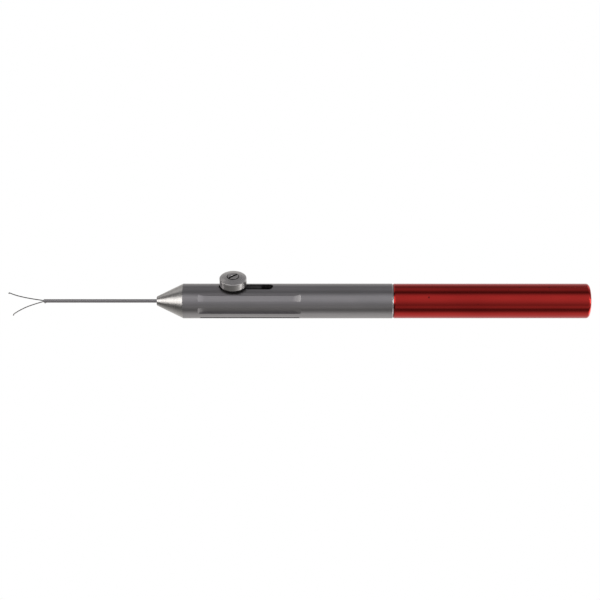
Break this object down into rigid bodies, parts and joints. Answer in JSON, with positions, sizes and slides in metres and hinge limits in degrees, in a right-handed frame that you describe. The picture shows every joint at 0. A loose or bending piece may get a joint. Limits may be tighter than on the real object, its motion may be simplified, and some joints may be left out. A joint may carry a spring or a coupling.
{
  "type": "two-prong pupil dilator",
  "caption": "Hand-held retractable pupil dilator: thin cannula with fixed micro hook, two spring-wire prongs, thumb slide on a fluted barrel and an anodised rear handle.",
  "frame": {"origin": "on the axis of the instrument, at the middle of the rear handle", "axes": "+X along the axis to the rear end, away from the prongs; +Z towards the thumb knob; +Y towards the right prong"},
  "size_m": [0.1347, 0.0094, 0.0108],
  "materials": {
    "blasted_titanium": "fine bead-blasted titanium, matt grey",
    "satin_steel": "turned and satin polished",
    "tube_steel": "drawn, bright",
    "slide_steel": "turned, dull",
    "spring_wire": "drawn spring wire, dark",
    "brass_collar": "turned",
    "red_anodised": "red anodised, semi-gloss",
    "black_plastic": "smooth, low friction",
    "white_plastic": "smooth, low friction",
    "seal_rubber": "matt black"
  },
  "bodies": {
    "body": {"barrel": "blasted_titanium", "nose_cone": "satin_steel", "nose_seal": "seal_rubber", "cannula": "tube_steel", "cannula_ferrule": "brass_collar", "rod_guide": "white_plastic", "tip_hook": "tube_steel", "handle": "red_anodised", "coupling_stud": "satin_steel", "coupling_seal": "seal_rubber"},
    "slider": {"carriage": "slide_steel", "glide_ring": "white_plastic", "rod_set_screw": "slide_steel", "stem_sleeve": "slide_steel", "slide_washer": "black_plastic", "knob": "satin_steel", "knob_screw": "satin_steel", "push_rod": "tube_steel", "prong_ferrule": "tube_steel", "prong_left": "spring_wire", "prong_right": "spring_wire"}
  },
  "joints": [
    {"name": "thumb_slide", "type": "slide", "parent": "body", "child": "slider", "axis": [1, 0, 0], "range_m": [0, 0.0081], "deforming": ["prong_left", "prong_right"]}
  ]
}
